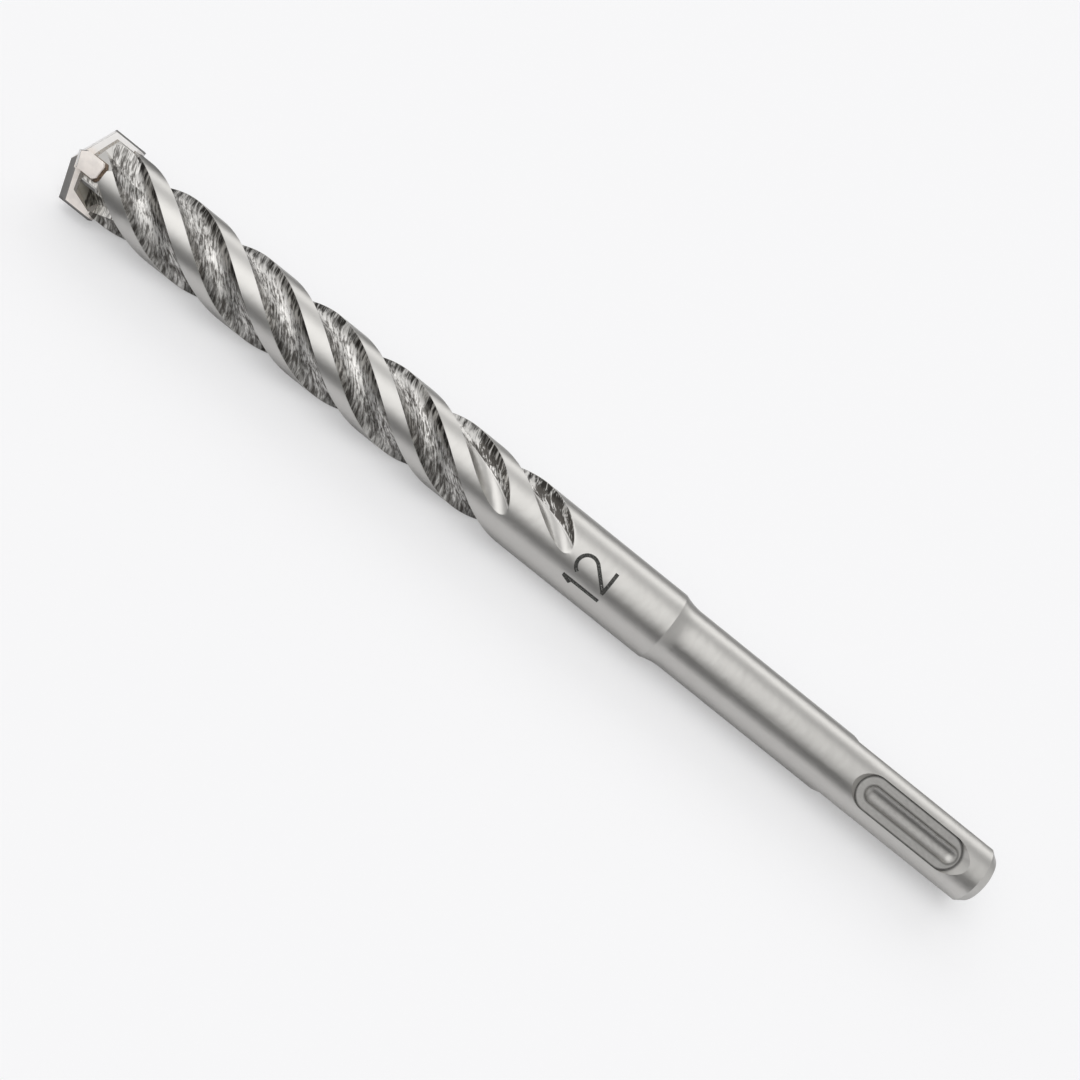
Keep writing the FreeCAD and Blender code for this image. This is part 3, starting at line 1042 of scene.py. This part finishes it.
def make_carbide(material):
    """outward runs along the main plate from the axis, rake is the distance in front of its middle plane."""
    tree, surface = shader_of(material)
    x, y, z = object_place(tree)
    grain = noise(grain_place(tree), 9.0, 3.0, 0.6)
    cloud = noise(grain_place(tree), 0.8, 2.0, 0.5)
    coordinates = tree.nodes.new("ShaderNodeTexCoord")
    forward = parts(Field(tree, coordinates.outputs["Normal"]))[0]
    upward = (z - y) * math.sqrt(0.5) / mm
    outward = calc("ABSOLUTE", upward)
    rake = (y + z) * math.sqrt(0.5) / mm * calc("SIGN", upward) * -1.0

    colour = blend_colour(ramp(cloud, 0.35, 0.7), carbide_pale, carbide_grey)
    # Painted light: roofs that face the tip, and the upper half of the main plate, are painted whiter.
    colour = blend_colour(ramp(forward, 0.78, 0.86), colour, carbide_painted_light)
    colour = blend_colour(ramp(upward, 1.6, 2.6) * 0.8, colour, carbide_painted_light)
    # Painted shade on the bevels, which face down away from the light. They are ground as well.
    bevel_shade_mask = ramp(forward, 0.38, 0.46) * ramp(forward, 0.76, 0.68)
    colour = blend_colour(bevel_shade_mask, colour, carbide_ground_and_shade)
    end_start = (cutting_radius - end_relief) / mm
    colour = blend_colour(ramp(outward, end_start - 0.06, end_start + 0.02), colour, carbide_end)
    on_rake_face = ramp(calc("ABSOLUTE", rake - plate_half / mm), 0.10, 0.04) * ramp(outward, 1.5, 1.7)
    below_bevel = (x - (tip - bevel_foot)) / mm + outward * roof_slope
    strip = ramp(below_bevel, -ground_strip - 0.03, -ground_strip + 0.03)
    colour = blend_colour(on_rake_face * strip, colour, carbide_ground_and_shade)
    feed(tree, surface.inputs["Base Color"], colour)
    surface.inputs["Metallic"].default_value = 0.05
    surface.inputs["Specular IOR Level"].default_value = 0.9
    feed(tree, surface.inputs["Roughness"], grain * 0.15 + 0.42)
    feed(tree, surface.inputs["Normal"], bump(grain, 0.02 * mm, 0.6))


carbide = bpy.data.materials.new("matt_carbide")
make_carbide(carbide)
print(f"roof falls {roof_slope:.3f} mm per mm outwards, "
      f"foot of its bevel {bevel_foot / mm:.2f} mm below the tip")

# %% [markdown]
# Copies of the CAD plates get a small bevel, because no real edge is perfectly sharp and the rounded edge is
# what catches a line of light. The side plates, and the braze round them, are a little shorter than in the
# CAD, as the photograph shows, so their feet are moved up.

# %% Copies with soft edges
edge_softness = 0.06 * mm


def merged_copy(node, name):
    """A copy of a CAD node with its loose triangles joined, and its flat faces made whole."""
    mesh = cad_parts[node].data.copy()
    shell = bmesh.new()
    shell.from_mesh(mesh)
    bmesh.ops.remove_doubles(shell, verts=shell.verts, dist=0.001 * mm)
    bmesh.ops.dissolve_limit(shell, angle_limit=math.radians(0.5), verts=shell.verts, edges=shell.edges)
    shell.to_mesh(mesh)
    shell.free()
    mesh.materials.clear()
    return add_object(name, mesh)


def soften_edges(thing, width, segments=2, angle=30):
    modifier = thing.modifiers.new("soft edges", "BEVEL")
    modifier.width = width
    modifier.segments = segments
    modifier.limit_method = "ANGLE"
    modifier.angle_limit = math.radians(angle)
    bake_modifiers(thing)


print(f"edges of the plates rounded over {edge_softness / mm:.2f} mm")

# %% The three plates
plate_sharp_angle = math.radians(40)
side_foot_setback = 5.7 * mm
side_foot_rise = 0.6 * mm


def raise_foot(thing):
    """Moves the foot of a side plate, or of its braze, towards the tip."""
    for vertex in thing.data.vertices:
        if vertex.co.x < tip - side_foot_setback:
            vertex.co.x += side_foot_rise


plates = {}
for node in ("main_cutter", "side_cutter_upper", "side_cutter_lower"):
    plate = merged_copy(node, node.replace("cutter", "plate"))
    if node != "main_cutter":
        raise_foot(plate)
    soften_edges(plate, edge_softness)
    plate.data.materials.append(carbide)
    plate.data.shade_smooth()
    plate.data.set_sharp_from_angle(angle=plate_sharp_angle)
    plates[node] = plate
    print(plate.name, len(plate.data.polygons), "faces")

# %% [markdown]
# ## Braze
#
# Braze metal fills the gap under and beside each plate. Round the side plates it has flowed and cooled dark
# brown under the foot, where it lies thickest, and greyer beside the plate. Round the main plate it is a thin
# grey film, darker at its foot. Braze and the etched size mark further on are all dull metal with a fine
# grain, so one function makes that skin and each material adds its colours. The main plate's CAD film has
# the right shape, so it stays and only gets its finish. The side films are copied and shortened with their
# plates.

# %% Dull metal with a grain
def grainy_metal(name, fineness, metallic, dullness, grain_dullness, grain_height):
    """A dull metal with a fine grain. Returns the material, its colour socket and the grain."""
    material = bpy.data.materials.new(name)
    tree, surface = shader_of(material)
    grain = noise(grain_place(tree), fineness, 3.0, 0.65)
    surface.inputs["Metallic"].default_value = metallic
    feed(tree, surface.inputs["Roughness"], grain * grain_dullness + dullness)
    feed(tree, surface.inputs["Normal"], bump(grain, grain_height))
    return material, surface.inputs["Base Color"], grain


# %% Braze materials
braze_dark = (0.085, 0.06, 0.043)
braze_light = (0.26, 0.185, 0.125)
braze_thin = (0.36, 0.32, 0.28)
thin_grey = (0.46, 0.44, 0.41)
foot_grey = (0.12, 0.11, 0.10)
side_film_fade = (6.0, 5.0)
main_foot_fade = (7.08, 7.18)
main_end_fade = (1.5, 3.0)

braze, skin, grain = grainy_metal("burnt_braze", 4.5, 0.6, 0.45, 0.3, 0.06 * mm)
x, y, z = object_place(grain.tree)
beside = ramp((tip - x) / mm, *side_film_fade)
colour = blend_colour(ramp(grain, 0.4, 0.68), braze_dark, braze_light)
feed(grain.tree, skin, blend_colour(beside * 0.7, colour, braze_thin))

thin_braze, skin, grain = grainy_metal("thin_braze", 4.5, 0.9, 0.35, 0.3, 0.06 * mm)
x, y, z = object_place(grain.tree)
at_foot = calc("MAXIMUM", ramp((tip - x) / mm, *main_foot_fade), ramp((y - z) / mm, *main_end_fade) * 0.6)
colour = blend_colour(ramp(grain, 0.5, 0.3), thin_grey, braze_light)
feed(grain.tree, skin, blend_colour(at_foot, colour, foot_grey))
print("materials:", braze.name, thin_braze.name)

# %% Braze films
main_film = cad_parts["main_braze"]
main_film.data.materials.clear()
main_film.data.materials.append(thin_braze)
films = {}
for node in ("side_braze_upper", "side_braze_lower"):
    film = merged_copy(node, node.replace("braze", "film"))
    raise_foot(film)
    film.data.materials.append(braze)
    films[node] = film
print(len(films) + 1, "braze films")

# %% [markdown]
# ## Size mark
#
# The bit's size in millimetres is etched on the neck in plain figures that read across the bit, with their
# tops towards the tip. Each stroke is a ribbon of even width that follows a line drawn on the unrolled neck.
# A text object would bring its font's own strokes, and a bump would be lost in the exported mesh, so each
# stroke is wrapped round the steel as a thin closed inlay, which holds from every side.

# %% A stroke on the neck
mark_base = 69.6 * mm
mark_start = math.radians(23.3)
mark_stroke = 0.56 * mm
mark_inner = land_radius - 0.03 * mm
mark_outer = land_radius + 0.006 * mm
stroke_step = 0.25


def ribbon(name, line):
    """A thin closed strip that follows a line of (across, up) points in millimetres on the unrolled neck."""
    path = [Vector(line[0])]
    for point in line[1:]:
        start = path[-1].copy()
        count = max(1, math.ceil((Vector(point) - start).length / stroke_step))
        path += [start.lerp(Vector(point), (i + 1) / count) for i in range(count)]
    rings = []
    for i, point in enumerate(path):
        ahead = (path[min(i + 1, len(path) - 1)] - path[max(i - 1, 0)]).normalized()
        aside = Vector((-ahead.y, ahead.x)) * (mark_stroke / mm / 2)
        ring = []
        for flat, radius in ((point + aside, mark_outer), (point - aside, mark_outer),
                             (point - aside, mark_inner), (point + aside, mark_inner)):
            turn = mark_start + flat.x * mm / land_radius
            ring.append((mark_base + flat.y * mm, radius * math.cos(turn), radius * math.sin(turn)))
        rings.append(ring)
    points = [corner for ring in rings for corner in ring]
    faces = [(0, 1, 2, 3), tuple(len(points) - i for i in (1, 2, 3, 4))]
    for i in range(len(rings) - 1):
        for k in range(4):
            here, beside = 4 * i + k, 4 * i + (k + 1) % 4
            faces.append((here, here + 4, beside + 4, beside))
    mesh = bpy.data.meshes.new(name)
    mesh.from_pydata(points, [], faces)
    shell = bmesh.new()
    shell.from_mesh(mesh)
    bmesh.ops.recalc_face_normals(shell, faces=shell.faces)
    shell.to_mesh(mesh)
    shell.free()
    return add_object(name, mesh)


print(f"strokes {mark_stroke / mm:.2f} mm wide, raised {(mark_outer - land_radius) / mm:.3f} mm")

# %% The figures
bowl_centre = (1.87, 4.3)
bowl_radius = 1.6
bowl_start, bowl_sweep, bowl_steps = 155, 195, 16
etched_dark = (0.03, 0.03, 0.028)
etched_light = (0.13, 0.13, 0.12)

bowl = []
for step in range(bowl_steps + 1):
    turn = math.radians(bowl_start - bowl_sweep * step / bowl_steps)
    bowl.append((bowl_centre[0] + bowl_radius * math.cos(turn),
                 bowl_centre[1] + bowl_radius * math.sin(turn)))
size_mark = ribbon("size_mark", bowl + [(0.30, 0.32)])
for name, line in (("foot", [(0.0, 0.28), (3.75, 0.28)]), ("one", [(-1.17, 0.0), (-1.17, 6.3)]),
                   ("flag", [(-1.25, 6.1), (-1.75, 4.75)])):
    cut_all(size_mark, [ribbon(name, line)], "UNION")
etched, skin, grain = grainy_metal("etched_mark", 5.0, 0.4, 0.5, 0.2, 0.01 * mm)
feed(grain.tree, skin, blend_colour(ramp(grain, 0.35, 0.75), etched_dark, etched_light))
size_mark.data.materials.clear()
size_mark.data.materials.append(etched)
print("size mark:", len(size_mark.data.polygons), "faces")

# %% [markdown]
# ## Floor
#
# The photograph is a plain white studio picture with a soft shadow under the bit. The floor is one sheet of
# paper. It has to look white, keep the shadow and still not flood the steel with light, and a plain white
# paper can't do all three. Light Path tells who is looking: the camera sees a paper with a little glow of its
# own, while the steel sees a paper with painted shade on it: a painted contact shadow close beside the bit
# and before its tip, and painted darkness far away from it.

# %% Floor
floor_size = 3.0
floor_level = body_low.z - 0.02 * mm
paper_colour = (0.95, 0.95, 0.965)
paper_base = 0.95
paper_seen = 0.67
paper_glow = 0.35
paper_shadow_close, paper_dark_far, paper_shadow_before_tip = 0.70, 0.35, 0.25
close_fade, far_fade = (4.0, 9.0), (14.0, 60.0)
tip_fade = (tip - 10 * mm, tip - 2 * mm)

corners = [(x * floor_size, y * floor_size, floor_level) for x, y in ((-1, -1), (1, -1), (1, 1), (-1, 1))]
floor_mesh = bpy.data.meshes.new("floor")
floor_mesh.from_pydata(corners, [], [(0, 1, 2, 3)])
floor = add_object("floor", floor_mesh)
paper = bpy.data.materials.new("white_paper")
tree, surface = shader_of(paper)
surface.inputs["Roughness"].default_value = 0.9
surface.inputs["Specular IOR Level"].default_value = 0.1
surface.inputs["Emission Color"].default_value = (1, 1, 1, 1)
rays = tree.nodes.new("ShaderNodeLightPath")
by_camera, by_steel, by_glass = (Field(tree, rays.outputs[name])
                                 for name in ("Is Camera Ray", "Is Glossy Ray", "Is Transmission Ray"))
feed(tree, surface.inputs["Emission Strength"], calc("MAXIMUM", by_camera, by_glass) * paper_glow)
x, y, z = object_place(tree)
beside = calc("ABSOLUTE", y) / mm
# Painted shade that only the steel sees: a contact shadow close beside the bit and before its tip, and
# darkness far away from it.
painted_shade_in_steel = choose(ramp(beside, *close_fade), paper_shadow_close, 1.0)
painted_shade_in_steel = painted_shade_in_steel * choose(ramp(beside, *far_fade), 1.0, paper_dark_far)
painted_shade_in_steel = painted_shade_in_steel * choose(ramp(x, *tip_fade), 1.0, paper_shadow_before_tip)
paper_shade = choose(by_camera, choose(by_steel, paper_base, painted_shade_in_steel), paper_seen)
feed(tree, surface.inputs["Base Color"], blend_colour(paper_shade, (0.0, 0.0, 0.0), paper_colour))
floor_mesh.materials.append(paper)
print(f"floor {2 * floor_size:.0f} m wide, {-floor_level / mm:.2f} mm below the axis")

# %% [markdown]
# ## Light and world
#
# A satin cylinder stretches whatever stands round it into bands along its length: bright where a soft box
# is, dark where the studio is open. Area lamps could make them, but each would also show as a spot on the
# flutes and plates. So the world itself is the studio. Its brightness follows the elevation about the bit's
# own axis, as a list of angles and levels: level with the floor on the camera's side is 0 degrees, straight
# above is 90, and level with the floor behind is 180. A gain makes it brighter towards the tip than towards
# the shank, as in the photograph, and the two ends of the studio have levels of their own. Camera rays see a
# plain backdrop past the edge of the floor.

# %% The bands of the studio
studio_levels = [(-180, 0.75), (-4, 0.75), (-1, 0.06), (17, 0.06), (29, 0.34), (42, 0.76), (56, 0.96),
                 (88, 1.02), (100, 0.70), (112, 0.46), (124, 0.60), (138, 1.6), (152, 1.75), (162, 0.60),
                 (170, 0.15), (180, 0.15)]
brightest = max(level for angle, level in studio_levels)

world = bpy.data.worlds.new("studio")
bpy.context.scene.world = world
world.use_nodes = True
tree = world.node_tree
coordinates = tree.nodes.new("ShaderNodeTexCoord")
along_bit, across_bit, up = parts(Field(tree, coordinates.outputs["Generated"]))
elevation = calc("ARCTAN2", up, across_bit) / (2 * math.pi) + 0.5
curve = tree.nodes.new("ShaderNodeValToRGB")
curve.color_ramp.interpolation = "EASE"
feed(tree, curve.inputs[0], elevation)
stops = curve.color_ramp.elements
for index, (angle, level) in enumerate(studio_levels):
    stop = stops[index] if index < 2 else stops.new(1.0)
    stop.position = angle / 360 + 0.5
    shade = level / brightest
    stop.color = (shade, shade, shade, 1)
bands = Field(tree, curve.outputs["Color"]) * brightest
print("studio levels from", min(level for angle, level in studio_levels), "to", brightest)

# %% The ends of the studio and the backdrop
tip_end_level, taper_level, end_level = 0.72, 0.48, 0.80
tip_gain, shank_gain, high_tip_gain = 1.58, 0.85, 0.85
tip_lift = 0.06
backdrop_level = 0.93
tip_side_fade, top_fade = (-0.35, 0.10), (0.80, 0.87)
shank_end_fade, striking_end_fade, tip_end_fade = (-0.40, -0.62), (-0.80, -0.96), (0.45, 0.85)

towards_tip = ramp(along_bit, *tip_side_fade)
past_top = ramp(elevation, *top_fade)
gain = choose(past_top, choose(towards_tip, shank_gain, tip_gain), choose(towards_tip, 1.0, high_tip_gain))
bands = bands * gain + towards_tip * tip_lift
behind = choose(ramp(along_bit, *striking_end_fade), taper_level, end_level)
bands = choose(ramp(along_bit, *shank_end_fade), bands, behind)
strength = choose(ramp(along_bit, *tip_end_fade), bands, tip_end_level)
rays = tree.nodes.new("ShaderNodeLightPath")
by_camera = Field(tree, rays.outputs["Is Camera Ray"])
sky = tree.nodes["Background"]
sky.inputs["Color"].default_value = (1, 1, 1, 1)
feed(tree, sky.inputs["Strength"], choose(by_camera, strength, backdrop_level))
bpy.context.scene.view_settings.view_transform = "Standard"
print(f"studio {tip_gain / shank_gain:.2f} times as bright towards the tip")

# %% [markdown]
# ## Bodies and hidden nodes
#
# Every piece made here is tied to the body that it moves with, and the CAD node that it stands for is hidden.
# The bit is one rigid thing, so all of them ride on the root. The size mark stands for no node, as it is only
# etched on the neck. The main plate's film is still the CAD node itself.

# %% Which body each piece rides on, and which CAD node it hides
steel_sharp_angle = math.radians(17)
blank.data.set_sharp_from_angle(angle=steel_sharp_angle)
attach(blank, "root")
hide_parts("drill_body")
for node, film in films.items():
    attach(film, "root")
    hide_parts(node)
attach(size_mark, "root")
for node, plate in plates.items():
    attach(plate, "root")
    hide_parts(node)
print("pieces:", blank.name, size_mark.name, *(piece.name for piece in [*films.values(), *plates.values()]))
